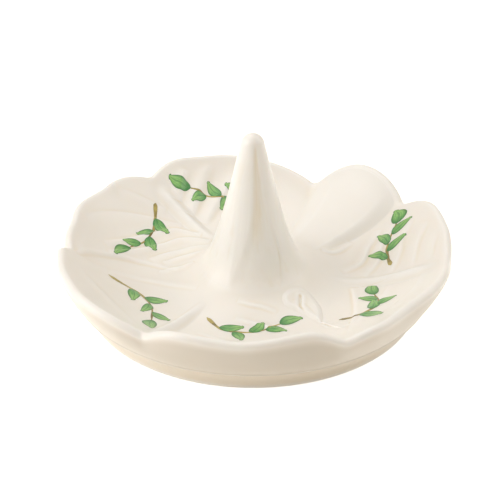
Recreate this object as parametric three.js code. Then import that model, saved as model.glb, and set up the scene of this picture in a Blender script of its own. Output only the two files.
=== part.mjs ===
// Porcelain ring holder: a leaf-lobed dish on a round foot, with a hollow post that finger rings drop over.
// Millimetres, +Z up, -Y towards the viewer. The origin is the centre of the circle that the foot stands on.
import * as THREE from "three";
import { mergeVertices } from "three/addons/utils/BufferGeometryUtils.js";

// Foot ring
const FOOT_RADIUS = 46.1; // outside, where it stands
const FOOT_HEIGHT = 6.7; // table to the seam under the dish
const FOOT_WALL = 3.8; // thickness of the ring
const FOOT_SPREAD = 3.7; // how much wider the ring is at the seam
const FOOT_FLARE = -0.1; // where the ring's side bends, as a share of its spread; below 0 it has a waist
const FLARE_SHARE = 0.6; // and as a share of its height
const FOOT_EDGE = 0.6; // chamfer round the standing face

// Slip bead over the seam between foot and dish
const BEAD_HEIGHT = 1.4;
const BEAD_DEPTH = 0.5;

// Dish, before its rim is drawn out into lobes
const RIM_RADIUS = 54;
const RIM_HEIGHT = 17.5;
const FLOOR_HEIGHT = 6.8; // table to the floor round the post
const DISH_WALL = 3; // floor and bowl thickness
const LIP_THICKNESS = 2.8;
const FLOOR_RADIUS = 26; // flat floor round the post
const BOWL_POWER = 2.2; // how late the bowl steepens towards the lip
const WALL_FULLNESS = 0.7; // how far the outside wall bellies out before it climbs

// Ring post
const POST_TOP = 51.4; // table to tip
const TIP_RADIUS = 3.3;
const TAPER_RATIO = 0.225; // radius gained for each millimetre down
const FLARE_RADIUS = 4.5; // extra radius at the floor
const FLARE_HEIGHT = 6.9; // height over which the flare dies away
const POST_WALL = 2.6;
const TIP_WALL = 6; // solid clay over the hollow
const FLUTE_DEPTH = 0.35; // the post reads as three merged stems
const STEMS = 3;

// Slip fillet round the foot of the post
const FILLET_RISE = 4.2;
const FILLET_POWER = 2.4;

// Applied relief
const RIB_HEIGHT = 1;
const RIB_HALF_WIDTH = 1.6;
const RIB_LAP = 2; // how far a rib runs up onto the fillet
const PETAL_PUFF = 1.8;
const PETAL_HALF_WIDTH = 15;
const PETAL_LAP = 4;
const BUD_HEIGHT = 0.9;
const BUD_HALF_WIDTH = 4.6;
const BUD_LENGTH = 17;
const BUD_LAP = 9;
const PAD_EDGE = 0.3; // thickness left at the border of each pad

// Fits
const LUTE_GAP = 0.3; // slip between two curved pieces
const MERGE = 1e-4;

// Leaf lobes round the rim: angle from +X, reach past RIM_RADIUS and rise over RIM_HEIGHT in lobe units.
// Crests and dips are rounded, and two lobes meet in a notch.
const NOTCH_ROUNDING = 2; // degrees either side over which a notch is softened
const LOBE_UNIT = 1;
const RIM = [
  { angle: 8, reach: 1.5, rise: 1.6 }, // right leaf
  { angle: 19, reach: 1.5, rise: 2.3 },
  { angle: 31.3, reach: -2.6, rise: -2.4, notch: true },
  { angle: 50, reach: -0.2, rise: 2.8 }, // smooth petal
  { angle: 67.3, reach: -5, rise: -5.7, notch: true },
  { angle: 106, reach: 0.7, rise: 0.1 }, // back leaf
  { angle: 114, reach: 0.7, rise: 0.7 },
  { angle: 125.3, reach: -1.4, rise: -2.3, notch: true },
  { angle: 138, reach: 0.9, rise: 0.3 }, // left leaf
  { angle: 145, reach: -0.1, rise: 0.4 },
  { angle: 156, reach: 0.7, rise: 0.7 },
  { angle: 168, reach: -0.7, rise: -0.5 },
  { angle: 180, reach: -2.1, rise: -2.4, notch: true },
  { angle: 186.5, reach: 0.2, rise: 1.4 }, // front leaf, tip
  { angle: 202, reach: 1.6, rise: 2.1 },
  { angle: 216, reach: 2.4, rise: 2 },
  { angle: 236.8, reach: -1.8, rise: -2.8, notch: true },
  { angle: 250, reach: 0.3, rise: 1.9 }, // front leaf, right half
  { angle: 266, reach: -0.2, rise: 0.8 },
  { angle: 286, reach: -2.4, rise: 1.1 },
  { angle: 296.6, reach: 0.6, rise: -1.7, notch: true },
  { angle: 308, reach: 1.4, rise: 0.4 }, // right leaf, front lobe
  { angle: 320, reach: 0.3, rise: 0.6 },
  { angle: 340, reach: 2, rise: 1.3 },
  { angle: 353, reach: 1.1, rise: -0.6 },
];

// Where each rib, the petal and the bud lie: angle on the rim and angle at the post.
const BACK_RIB = { rim: 125.5, post: 121 };
const FRONT_RIB = { rim: 236.6, post: 232 };
const RIGHT_RIB = { rim: 351.5, post: 354.5 };
const PETAL = { rim: 51, post: 51 };
const BUD_ANGLE = 309;

const { smoothstep, lerp, degToRad, radToDeg, euclideanModulo } = THREE.MathUtils;

// Sizes that follow from the ones above
const SEAM_RADIUS = FOOT_RADIUS + FOOT_SPREAD;
const LIP_ROUND = LIP_THICKNESS / 2;
const LIP_START = RIM_HEIGHT - LIP_ROUND;
const LIP_SLOPE = lipSlope();
const BOWL_EDGE = RIM_RADIUS - LIP_ROUND * (1 + Math.sin(LIP_SLOPE));
const BOWL_TOP = LIP_START + LIP_ROUND * Math.cos(LIP_SLOPE);
const FILLET_EDGE = FLOOR_RADIUS - 2 * LUTE_GAP;
const SLOPE = Math.hypot(1, TAPER_RATIO);
const FILLET_ROOT = postRadius(FLOOR_HEIGHT + FILLET_RISE) + 2 * LUTE_GAP;
const BORE_RADIUS = postRadius(FLOOR_HEIGHT) - POST_WALL;

// Rounds from a crest at 0 to the next crest at 1, or runs sharply into a notch at either end.
function ease(t, startsInNotch, endsInNotch) {
  if (endsInNotch && !startsInNotch) return t * t;
  if (startsInNotch && !endsInNotch) return 1 - (1 - t) * (1 - t);
  return smoothstep(t, 0, 1);
}

function rimStation(angle) {
  const last = RIM.length - 1;
  const next = RIM.findIndex((station) => station.angle > angle);
  const i = next > 0 ? next - 1 : last;
  const a = RIM[i];
  const b = RIM[(i + 1) % RIM.length];
  const span = euclideanModulo(b.angle - a.angle, 360);
  const t = ease(euclideanModulo(angle - a.angle, 360) / span, a.notch, b.notch);
  return [lerp(a.reach, b.reach, t), lerp(a.rise, b.rise, t)];
}

// Mean of five stations, which softens the notches.
function rimAt(angle) {
  let reach = 0;
  let rise = 0;
  for (let step = -2; step <= 2; step++) {
    const near = rimStation(euclideanModulo(angle + (step * NOTCH_ROUNDING) / 2, 360));
    reach += (LOBE_UNIT * near[0]) / 5;
    rise += (LOBE_UNIT * near[1]) / 5;
  }
  return [reach, rise];
}

// Draws a point of the plain round dish out into the lobes. The lip moves in full and the floor stays.
function lobed(radius, angle, height) {
  const share = smoothstep(height, FLOOR_HEIGHT, RIM_HEIGHT);
  const [reach, rise] = rimAt(euclideanModulo(radToDeg(angle), 360));
  return [radius + share * reach, height + share * rise];
}

// Angle at which the bowl runs up into the rounded lip, so that no crease shows inside the rim
function lipSlope() {
  let slope = Math.PI / 4;
  for (let i = 0; i < 20; i++) {
    const run = RIM_RADIUS - LIP_ROUND * (1 + Math.sin(slope)) - FLOOR_RADIUS;
    const climb = LIP_START + LIP_ROUND * Math.cos(slope) - FLOOR_HEIGHT;
    slope = Math.atan((BOWL_POWER * climb) / run);
  }
  return slope;
}

function bowlHeight(radius) {
  const out = Math.max(0, radius - FLOOR_RADIUS) / (BOWL_EDGE - FLOOR_RADIUS);
  return FLOOR_HEIGHT + (BOWL_TOP - FLOOR_HEIGHT) * out ** BOWL_POWER;
}

// Outside radius of the post below its domed tip
function postRadius(height) {
  const drop = POST_TOP - height;
  const flare = FLARE_RADIUS * Math.exp((FLOOR_HEIGHT - height) / FLARE_HEIGHT);
  return TIP_RADIUS * (SLOPE - TAPER_RATIO) + TAPER_RATIO * drop + flare;
}

// The flutes fade out at the root and towards the tip.
function fluted(radius, angle, height) {
  const up = smoothstep(height, FLOOR_HEIGHT + FILLET_RISE, FLOOR_HEIGHT + 3 * FILLET_RISE);
  const down = 1 - smoothstep(height, POST_TOP / 2, POST_TOP - TIP_RADIUS);
  const outside = radius > postRadius(height) - POST_WALL / 2;
  const wave = outside ? -FLUTE_DEPTH * up * down * Math.sin(STEMS * angle) : 0;
  return [radius + wave, height];
}

// The fillet feathers out onto the floor at its edge.
function filletHeight(radius) {
  const inward = Math.max(0, FILLET_EDGE - radius) / (FILLET_EDGE - FILLET_ROOT);
  return FLOOR_HEIGHT + FILLET_RISE * inward ** FILLET_POWER;
}

// Points between two radii or heights, both ends included
function steps(from, to, count, point) {
  return Array.from({ length: count + 1 }, (_, i) => point(lerp(from, to, i / count)));
}

// Drops the triangles that a section's ends fold flat on the axis.
function withoutSlivers(geometry) {
  const index = geometry.getIndex().array;
  const kept = [];
  for (let i = 0; i < index.length; i += 3) {
    const [a, b, c] = [index[i], index[i + 1], index[i + 2]];
    if (a !== b && b !== c && c !== a) kept.push(a, b, c);
  }
  geometry.setIndex(kept);
  return geometry;
}

// Turns a section of [radius, height] points about Z, then shapes each point of the solid.
function turned(section, sides, shape = (radius, angle, height) => [radius, height]) {
  const lathe = new THREE.LatheGeometry(section.map(([r, z]) => new THREE.Vector2(r, z)), sides);
  lathe.rotateX(Math.PI / 2);
  lathe.deleteAttribute("normal");
  lathe.deleteAttribute("uv");
  const solid = withoutSlivers(mergeVertices(lathe, MERGE));
  const at = solid.getAttribute("position");
  for (let i = 0; i < at.count; i++) {
    const angle = Math.atan2(at.getY(i), at.getX(i));
    const [radius, height] = shape(Math.hypot(at.getX(i), at.getY(i)), angle, at.getZ(i));
    at.setXYZ(i, radius * Math.cos(angle), radius * Math.sin(angle), height);
  }
  return solid;
}

// A pad of clay pressed onto the dish. place(u, v) gives radius and angle for u along the pad, 0 to 1,
// and v across it, -1 to 1. thick(u, v) gives its thickness there.
function pad(rows, columns, place, thick) {
  const points = [];
  const faces = [];
  const across = columns + 1;
  const layer = (rows + 1) * across;
  for (const top of [0, 1]) {
    for (let i = 0; i <= rows; i++) {
      for (let j = 0; j <= columns; j++) {
        const [u, v] = [i / rows, (2 * j) / columns - 1];
        const [r, angle] = place(u, v);
        const [radius, height] = lobed(r, angle, Math.max(bowlHeight(r), filletHeight(r)));
        const lift = LUTE_GAP + (top ? PAD_EDGE + thick(u, v) : 0);
        points.push(radius * Math.cos(angle), radius * Math.sin(angle), height + lift);
      }
    }
  }
  const quad = (a, b, c, d) => faces.push(a, b, c, a, c, d);
  for (let i = 0; i < rows; i++) {
    for (let j = 0; j < columns; j++) {
      const a = i * across + j;
      const b = a + across;
      quad(layer + a, layer + b, layer + b + 1, layer + a + 1);
      quad(a, a + 1, b + 1, b);
    }
  }
  for (let i = 0; i < rows; i++) {
    const a = i * across;
    const z = a + columns;
    quad(a, a + across, layer + a + across, layer + a);
    quad(z + across, z, layer + z, layer + z + across);
  }
  for (let j = 0; j < columns; j++) {
    const z = rows * across + j;
    quad(j + 1, j, layer + j, layer + j + 1);
    quad(z, z + 1, layer + z + 1, layer + z);
  }
  const solid = new THREE.BufferGeometry();
  solid.setAttribute("position", new THREE.Float32BufferAttribute(points, 3));
  solid.setIndex(faces);
  return solid;
}

// The ring spreads towards the seam, slowly at first.
function footSide() {
  return new THREE.QuadraticBezierCurve(
    new THREE.Vector2(FOOT_RADIUS, FOOT_EDGE),
    new THREE.Vector2(FOOT_RADIUS + FOOT_FLARE * FOOT_SPREAD, FLARE_SHARE * FOOT_HEIGHT),
    new THREE.Vector2(SEAM_RADIUS, FOOT_HEIGHT),
  ).getPoints(5);
}

function footRing() {
  const inside = FOOT_RADIUS - FOOT_WALL;
  const side = footSide();
  return turned(
    [
      [inside + FOOT_EDGE, 0],
      [FOOT_RADIUS - FOOT_EDGE, 0],
      ...side.map((p) => [p.x, p.y]),
      ...side.reverse().map((p) => [p.x - FOOT_WALL, p.y]),
      [inside + FOOT_EDGE, 0],
    ],
    72,
  );
}

function footBead() {
  const inner = SEAM_RADIUS + LUTE_GAP;
  const round = steps(-Math.PI / 2, Math.PI / 2, 5, (turn) => [
    inner + BEAD_DEPTH * Math.cos(turn),
    FOOT_HEIGHT + (BEAD_HEIGHT / 2) * Math.sin(turn),
  ]);
  return turned([...round, round[0]], 72);
}

function dish() {
  const shoulder = SEAM_RADIUS - FOOT_WALL;
  const wallStart = FOOT_HEIGHT + BEAD_HEIGHT / 2;
  const belly = lerp(SEAM_RADIUS, RIM_RADIUS, WALL_FULLNESS);
  const outside = new THREE.QuadraticBezierCurve(
    new THREE.Vector2(SEAM_RADIUS, wallStart),
    new THREE.Vector2(belly, lerp(wallStart, LIP_START, 1 - WALL_FULLNESS)),
    new THREE.Vector2(RIM_RADIUS, LIP_START),
  );
  const underside = steps(BORE_RADIUS, FLOOR_RADIUS, 1, (r) => [r, FLOOR_HEIGHT - DISH_WALL]);
  const hollow = steps(FLOOR_RADIUS, shoulder, 3, (r) => [r, bowlHeight(r) - DISH_WALL]).slice(1);
  const lip = steps(0, Math.PI / 2 + LIP_SLOPE, 4, (turn) => [
    RIM_RADIUS - LIP_ROUND + LIP_ROUND * Math.cos(turn),
    LIP_START + LIP_ROUND * Math.sin(turn),
  ]);
  const bowl = steps(BOWL_EDGE, FLOOR_RADIUS, 6, (r) => [r, bowlHeight(r)]).slice(1);
  return turned(
    [
      ...underside,
      ...hollow,
      [shoulder, FOOT_HEIGHT],
      [SEAM_RADIUS, FOOT_HEIGHT],
      ...outside.getPoints(5).slice(0, -1).map((p) => [p.x, p.y]),
      ...lip,
      ...bowl,
      [BORE_RADIUS, FLOOR_HEIGHT],
      underside[0],
    ],
    96,
    lobed,
  );
}

function ringPost() {
  const tangent = POST_TOP - TIP_RADIUS * (1 - TAPER_RATIO / SLOPE);
  const hollowTop = POST_TOP - TIP_WALL;
  const bore = steps(hollowTop, FLOOR_HEIGHT, 6, (z) => [postRadius(z) - POST_WALL, z]);
  const flank = steps(FLOOR_HEIGHT, tangent, 10, (z) => [postRadius(z), z]);
  const dome = steps(Math.asin(TAPER_RATIO / SLOPE), Math.PI / 2, 4, (turn) => [
    TIP_RADIUS * Math.cos(turn),
    POST_TOP - TIP_RADIUS + TIP_RADIUS * Math.sin(turn),
  ]).slice(1);
  dome[dome.length - 1][0] = 0;
  return turned([[0, hollowTop], ...bore, ...flank, ...dome], 48, fluted);
}

function postFillet() {
  const top = FLOOR_HEIGHT + FILLET_RISE;
  const against = steps(top, FLOOR_HEIGHT, 3, (z) => [postRadius(z) + LUTE_GAP, z]);
  const slope = steps(FILLET_EDGE, FILLET_ROOT, 6, (r) => [r, filletHeight(r)]);
  return turned([...against, ...slope, against[0]], 48);
}

// A rounded rib along a leaf's middle, from beside the post to just inside the lip
function rib(lie) {
  const from = FILLET_EDGE - RIB_LAP;
  const to = BOWL_EDGE - LIP_ROUND;
  return pad(
    12,
    4,
    (u, v) => {
      const r = lerp(from, to, u);
      const half = RIB_HALF_WIDTH * lerp(0.6, 1, u);
      return [r, degToRad(lerp(lie.post, lie.rim, u)) + (v * half) / r];
    },
    (u, v) => RIB_HEIGHT * (1 - v * v) * Math.sqrt(Math.sin(Math.PI * lerp(0.08, 0.92, u))),
  );
}

// A smooth puffed tongue that fills its own lobe of the rim
function smoothPetal() {
  const from = FILLET_EDGE - PETAL_LAP;
  const to = BOWL_EDGE - LIP_ROUND;
  const width = (u) => PETAL_HALF_WIDTH * lerp(0.35, 1, u) * (1 - 0.3 * u ** 8);
  return pad(
    12,
    8,
    (u, v) => {
      const r = lerp(from, to, u);
      return [r, degToRad(lerp(PETAL.post, PETAL.rim, u)) + (v * width(u)) / r];
    },
    (u, v) => PETAL_PUFF * Math.sqrt(1 - v * v) * Math.sin(Math.PI * lerp(0.06, 0.9, u)) ** 0.6,
  );
}

// A teardrop with a raised border and a seed in its middle, its point towards the rim
function budSprig() {
  const from = FILLET_EDGE - BUD_LAP;
  const width = (u) => BUD_HALF_WIDTH * Math.max(0.12, Math.sqrt(Math.min(1, 6 * u)) * (1 - u) ** 0.8);
  return pad(
    10,
    8,
    (u, v) => {
      const r = from + BUD_LENGTH * u;
      return [r, degToRad(BUD_ANGLE) + (v * width(u)) / r];
    },
    (u, v) => {
      const border = Math.exp(-(((Math.abs(v) - 0.75) / 0.25) ** 2));
      const seed = 0.8 * Math.exp(-(((u - 0.3) / 0.15) ** 2) - (v / 0.35) ** 2);
      return BUD_HEIGHT * Math.max(border, seed);
    },
  );
}

const holder = new THREE.Group();

function add(name, geometry, colour, roughness) {
  const material = new THREE.MeshStandardMaterial({ color: colour, roughness, metalness: 0 });
  const mesh = new THREE.Mesh(geometry, material);
  mesh.name = name;
  holder.add(mesh);
}

add("foot_ring", footRing(), 0xefe6d6, 0.25);
add("foot_bead", footBead(), 0xefe6d6, 0.2);
add("dish", dish(), 0xf4ede1, 0.15);
add("ring_post", ringPost(), 0xf4ede1, 0.15);
add("post_fillet", postFillet(), 0xf4ede1, 0.15);
add("smooth_petal", smoothPetal(), 0xf5eee3, 0.15);
add("bud_sprig", budSprig(), 0xf5eee3, 0.15);
add("back_leaf_rib", rib(BACK_RIB), 0xf5eee3, 0.15);
add("front_leaf_rib", rib(FRONT_RIB), 0xf5eee3, 0.15);
add("right_leaf_rib", rib(RIGHT_RIB), 0xf5eee3, 0.15);

export default holder;
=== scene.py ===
import math

import bpy
import numpy as np
from bpy.props import FloatProperty, FloatVectorProperty, PointerProperty
from bpy.types import Operator, Panel, PropertyGroup
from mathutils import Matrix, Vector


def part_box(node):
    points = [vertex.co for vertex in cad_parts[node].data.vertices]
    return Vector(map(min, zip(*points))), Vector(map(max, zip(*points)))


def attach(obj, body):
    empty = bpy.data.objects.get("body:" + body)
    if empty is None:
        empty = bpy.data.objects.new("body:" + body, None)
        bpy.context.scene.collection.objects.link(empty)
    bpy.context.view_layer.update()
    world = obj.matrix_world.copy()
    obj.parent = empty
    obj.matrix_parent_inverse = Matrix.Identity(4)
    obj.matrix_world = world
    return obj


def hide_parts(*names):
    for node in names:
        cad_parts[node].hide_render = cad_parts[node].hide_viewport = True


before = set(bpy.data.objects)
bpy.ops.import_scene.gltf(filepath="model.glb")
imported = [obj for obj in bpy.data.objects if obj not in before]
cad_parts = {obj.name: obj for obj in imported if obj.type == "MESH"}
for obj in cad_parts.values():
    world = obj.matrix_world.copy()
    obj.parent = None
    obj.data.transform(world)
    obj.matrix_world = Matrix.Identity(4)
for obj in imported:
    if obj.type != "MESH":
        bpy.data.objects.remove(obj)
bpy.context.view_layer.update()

bl_info = {
    "name": "Porcelain ring holder",
    "version": (1, 0, 0),
    "blender": (4, 5, 0),
    "location": "View3D > Sidebar > Ring holder",
    "description": "Glazed, painted pieces of a leaf-lobed ring dish, laid over its packed solids",
    "category": "Object",
}

MM = 0.001
BODY = "root"
SMOOTH_BELOW = math.radians(50)

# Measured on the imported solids, in millimetres.
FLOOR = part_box("ring_post")[0].z / MM
POST_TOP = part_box("ring_post")[1].z / MM
SEAM_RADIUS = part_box("foot_ring")[1].x / MM
FOOT_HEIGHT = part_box("foot_ring")[1].z / MM
BEAD_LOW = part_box("foot_bead")[0].z / MM
BEAD_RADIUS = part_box("foot_bead")[1].x / MM
FILLET_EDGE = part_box("post_fillet")[1].x / MM
FILLET_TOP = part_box("post_fillet")[1].z / MM

# Leaf lobes round the rim: angle, reach past the plain rim, rise over it, and 1 where two lobes meet in a
# notch.
LOBES = np.array([
    (8, 1.5, 1.6, 0), (19, 1.5, 2.3, 0), (31.3, -2.6, -2.4, 1), (50, -0.2, 2.8, 0), (67.3, -5, -5.7, 1),
    (106, 0.7, 0.1, 0), (114, 0.7, 0.7, 0), (125.3, -1.4, -2.3, 1), (138, 0.9, 0.3, 0), (145, -0.1, 0.4, 0),
    (156, 0.7, 0.7, 0), (168, -0.7, -0.5, 0), (180, -2.1, -2.4, 1), (186.5, 0.2, 1.4, 0),
    (202, 1.6, 2.1, 0), (216, 2.4, 2, 0), (236.8, -1.8, -2.8, 1), (250, 0.3, 1.9, 0),
    (266, -0.2, 0.8, 0), (286, -2.4, 1.1, 0),
    (296.6, 0.6, -1.7, 1), (308, 1.4, 0.4, 0), (320, 0.3, 0.6, 0), (340, 2, 1.3, 0), (353, 1.1, -0.6, 0),
])
# Degrees to each side over which a notch is rounded.
NOTCH_ROUNDING = 3

# Side veins of the leaves: shares of the full vein height and width, then (radius, angle) points on the
# dish.
BACK_VEINS = (
    (1.4, 1.4, ((42, 120.8), (46, 117), (49.6, 113.5))),
    (1.6, 1.6, ((36.1, 120), (39.8, 114.8), (45.9, 108.4), (50.5, 104.2))),
    (1.6, 1.6, ((31.9, 115.9), (38.5, 105.9), (44.2, 98.1), (48.5, 93))),
    (1.3, 1.6, ((26, 110), (34, 96), (42, 86), (47, 82))),
)
LEFT_VEINS = (
    (1.3, 1.3, ((27, 123), (32.3, 130.7), (34.2, 137.8), (36.5, 148), (39.3, 157.9), (43.5, 165.5))),
    (1.5, 1.4, ((22, 123), (26, 129.8), (28.7, 137), (30, 147), (33.3, 157), (37.4, 165.3), (41.5, 170))),
    (1.4, 1.3, ((18, 128), (21.8, 139.2), (24.1, 149.3), (27.2, 156.7), (30.1, 164.9))),
    (1, 1, ((16.9, 143), (19, 149.7), (22.3, 157.5), (26, 166))),
    (0.8, 1, ((17, 167), (20, 172), (26, 175))),
    (1, 1.5, ((34, 127), (41, 139), (46, 149), (50, 160))),
    (0.8, 1.5, ((41, 128), (46, 134), (50.5, 140))),
)
FRONT_VEINS = (
    (0.5, 1.2, ((40, 182), (30, 185), (22, 197), (18, 212))),
    (0.6, 1.2, ((46, 229), (43, 214), (44.5, 200), (49, 190))),
    (0.6, 1.2, ((37, 227), (33, 210), (35, 196), (42, 187))),
    (0.6, 0.7, ((17.5, 256), (18.3, 267.4), (19.4, 278.8), (21.4, 287.7))),
    (0.7, 0.7, ((23.5, 258), (25.5, 270.6), (27.8, 279.5), (31.7, 287.2))),
    (0.6, 1, ((34, 244), (38, 261), (41, 276), (46, 289))),
    (0.5, 1, ((43, 242), (46, 254), (49.5, 262))),
)
RIGHT_VEINS = (
    (0.8, 1, ((24.8, 37), (24.6, 32), (25.8, 28.4), (28.1, 28.2), (30.6, 29.9), (33.2, 31.6))),
    (1.1, 1.2, ((25.5, 4), (31, 11), (35.5, 22), (42, 29))),
    (1.1, 1.2, ((31, 358), (35.6, 9), (38.5, 19), (45, 26))),
    (1.1, 1.2, ((38, 357), (41, 8), (43, 15), (48, 22))),
    (1.1, 1.2, ((43.5, 357), (45.8, 9), (49.5, 15))),
    (0.7, 1, ((48, 356.5), (49, 3), (51, 8))),
    (0.5, 1, ((47, 350), (46, 337), (45.5, 325), (47.5, 313))),
    (0.5, 1, ((39, 348), (38, 335), (38, 322), (42, 310))),
)
# Edges where the front leaf lies over the left one and the right leaf over the front one, each with its
# height.
LAPS = (
    (0.9, ((52, 183), (47.5, 177), (38, 170.5), (29, 169.5), (21, 177))),
    (0.6, ((28, 346), (29.4, 339.1), (32, 329.8), (35.6, 319.9), (41, 308.4), (48, 300))),
)

# Angles of each raised piece at the post and at the rim. For a rib also its shares of the full height and
# width, and how far along it reaches its height.
RIBS = {
    "back_leaf_rib": (118.5, 125.6, 1.2, 1.1, 0.6),
    "front_leaf_rib": (228.5, 237.3, 1.3, 1.05, 0.45),
    "right_leaf_rib": (354.5, 351.5, 1.5, 1.2, 0.8),
}
RIB_START = 17
PETAL_ANGLE = 51
PETAL_START = 20
# The bud's outline from its tip round the head and back, its slit, and the vein that runs on from its tip.
BUD = (
    (31.1, 306.1), (24.2, 303.2), (19.9, 296.6), (17.1, 297.9), (15.8, 306), (16, 319.1), (17.7, 324),
    (20.4, 322.9), (25.1, 317.6), (29.2, 310.4), (31.1, 306.1),
)
BUD_SLIT = ((18.9, 313.5), (20.3, 309.8), (21.9, 306.5), (23.7, 305.8), (25.6, 304.9))
BUD_TAIL = ((30.5, 306.6), (33.5, 305.9), (36, 305.8))
# The sheet that the bud is pressed from: the middles of its two ends in plan, and half its width.
BUD_SHEET = np.array(((9.5, -7.5), (21.5, -31)))
BUD_SHEET_HALF = 9.5

# Painted sprigs: the stem's (radius, angle) points from its root to its tip.
SPRIGS = (
    ((44, 130), (38, 138), (35, 149), (37, 160)),
    ((40, 186), (33, 198), (32.5, 212), (37.5, 224)),
    ((25.5, 241), (29.5, 255), (29.5, 271), (26.5, 286)),
    ((33.5, 314), (38, 323), (38.5, 332), (35.5, 340)),
    ((38.5, 2.5), (38.5, 11), (40.5, 19), (45, 25)),
    ((45, 87), (41, 95), (40.5, 105), (44.5, 114)),
)
# Where the side leaves stand along a stem.
LEAF_PLACES = np.linspace(0.26, 0.82, 4)
PAINT_ROUGHNESS = (0.28, 0.36)
PAINT_RIPPLE = 0.00008

# Lamps: name, place, size and power. All of them face the dish.
LAMPS = (
    ("lamp_top", (-0.15, 0.35, 0.8), 0.8, 1.7),
    ("lamp_left", (-0.64, -0.15, 0.41), 0.7, 3.5),
    ("lamp_right", (0.65, 0.1, 0.45), 0.7, 1.7),
)
LAMP_AIM = (0, 0, 0.01)
SKY_COLOUR = (1, 0.91, 0.77, 1)
# Strength of the sky as a light. Where it is seen it has strength 1.
SKY_LIGHT = 0.405
# Glow added where the floor is seen, so that it runs into a white background and keeps its shadow.
FLOOR_GLOW = 0.7
CAMERA_DISTANCE = 0.6
CAMERA_RISE = math.radians(31.5)
# In pixels of the picture: its width, the focal length, and how far the view is turned left and up.
PICTURE_WIDTH = 500
FOCAL_LENGTH = 2136
TURNED_LEFT = 3
TURNED_UP = 47


def length_property(name, description, default):
    return FloatProperty(name=name, description=description, default=default, unit="LENGTH")


class RingHolderSizes(PropertyGroup):
    """Sizes of the glazed pieces."""

    rim_radius: length_property("Rim radius", "Lip before its lobes", 0.0539)
    rim_height: length_property("Rim height", "Lip before its lobes", 0.0175)
    lip_thickness: length_property("Lip", "Thickness of the lip", 0.0028)
    dish_wall: length_property("Dish wall", "Floor and bowl", 0.003)
    floor_radius: length_property("Floor", "Flat round the post", 0.026)
    foot_radius: length_property("Foot", "Outside where it stands", 0.0461)
    foot_wall: length_property("Foot wall", "Thickness of the foot", 0.0038)
    post_wall: length_property("Post wall", "Thickness of the post", 0.0026)
    tip_radius: length_property("Tip", "Radius of the post's tip", 0.0033)
    flare_radius: length_property("Flare", "Extra radius at the root", 0.0045)
    flare_height: length_property("Flare height", "Fade of the flare", 0.0069)
    flute_depth: length_property("Flutes", "Depth of the front stem", 0.00036)
    vein_height: length_property("Veins", "Height of side veins", 0.0006)
    vein_width: length_property("Vein width", "Half width of a vein", 0.001)
    rib_height: length_property("Ribs", "Height of middle ribs", 0.0011)
    petal_puff: length_property("Petal", "Rise of the petal", 0.0017)
    bud_height: length_property("Bud", "Height of the bud", 0.0005)
    leaf_length: length_property("Leaf", "Length of a painted leaf", 0.007)
    stem_width: length_property("Stem", "Width of a painted stem", 0.0009)


def colour_property(name, description, default):
    return FloatVectorProperty(
        name=name, description=description, default=default, size=3, min=0, max=1, subtype="COLOR"
    )


class RingHolderColours(PropertyGroup):
    """Colours of the glaze, the clay and the paint."""

    glaze: colour_property("Glaze", "Cream glaze on level ground", (0.92, 0.885, 0.84))
    # Thin glaze on ridges, which also paints light onto ridges and onto the upper post.
    glaze_thin: colour_property("Thin glaze", "Where it runs off ridges", (0.965, 0.945, 0.915))
    # Pooled glaze in hollows, which also paints warm shade into creases and under the ledge.
    glaze_pool_and_shade: colour_property("Pooled glaze", "Where it gathers in hollows", (0.82, 0.70, 0.50))
    # Painted light and shade: paler than the outer wall against the foot's shadow, and warm like the shade on
    # it.
    foot_light_and_shade: colour_property("Foot glaze", "Thicker glaze low on the foot", (0.915, 0.862, 0.782))
    # Painted shade: a darker copy of the glaze for the outer wall, which faces down and away from the lamps.
    outer_wall_shade: colour_property("Outer glaze", "Thicker glaze on the outer wall", (0.725, 0.675, 0.60))
    biscuit: colour_property("Biscuit", "Bare clay under the foot", (0.80, 0.74, 0.65))
    leaf_dark: colour_property("Leaf edge", "Outline and root of a painted leaf", (0.006, 0.13, 0.025))
    leaf_mid: colour_property("Leaf", "Body of a painted leaf", (0.045, 0.30, 0.055))
    leaf_pale: colour_property("Leaf wash", "Thin paint at the tip", (0.30, 0.56, 0.17))
    stem: colour_property("Stem", "Painted stem", (0.45, 0.36, 0.09))
    stem_dark: colour_property("Stem shade", "Where the brush rested", (0.16, 0.12, 0.015))
    floor: colour_property("Floor", "Studio floor", (0.97, 0.925, 0.845))


def ramp(low, high, x):
    """0 at low, 1 at high and an S curve between."""
    t = np.clip((np.asarray(x, float) - low) / (high - low), 0, 1)
    return t * t * (3 - 2 * t)


def curve(start, pull, end, count):
    """Points of a curve that leaves the start and meets the end towards the pull point."""
    start, pull, end = np.array(start), np.array(pull), np.array(end)
    return [(1 - t) ** 2 * start + 2 * t * (1 - t) * pull + t * t * end for t in np.linspace(0, 1, count)]


def lobe_at(angle):
    """Reach and rise of the rim at angles in degrees, with a sharp notch."""
    at = LOBES[:, 0]
    i = (np.searchsorted(at, angle, side="right") - 1) % len(LOBES)
    j = (i + 1) % len(LOBES)
    t = ((angle - at[i]) % 360) / ((at[j] - at[i]) % 360)
    into, out_of = LOBES[j, 3] > LOBES[i, 3], LOBES[i, 3] > LOBES[j, 3]
    t = np.where(into, t * t, np.where(out_of, 1 - (1 - t) ** 2, ramp(0, 1, t)))
    return LOBES[i, 1] + (LOBES[j, 1] - LOBES[i, 1]) * t, LOBES[i, 2] + (LOBES[j, 2] - LOBES[i, 2]) * t


def rim_at(angle):
    """Reach and rise of the rim with its notches rounded."""
    reach = rise = 0
    steps = np.linspace(-1, 1, 15)
    shares = np.cos(steps * math.pi / 2) ** 2
    for step, share in zip(steps, shares / shares.sum()):
        near = lobe_at((np.asarray(angle, float) + NOTCH_ROUNDING * step) % 360)
        reach, rise = reach + share * near[0], rise + share * near[1]
    return reach, rise


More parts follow.
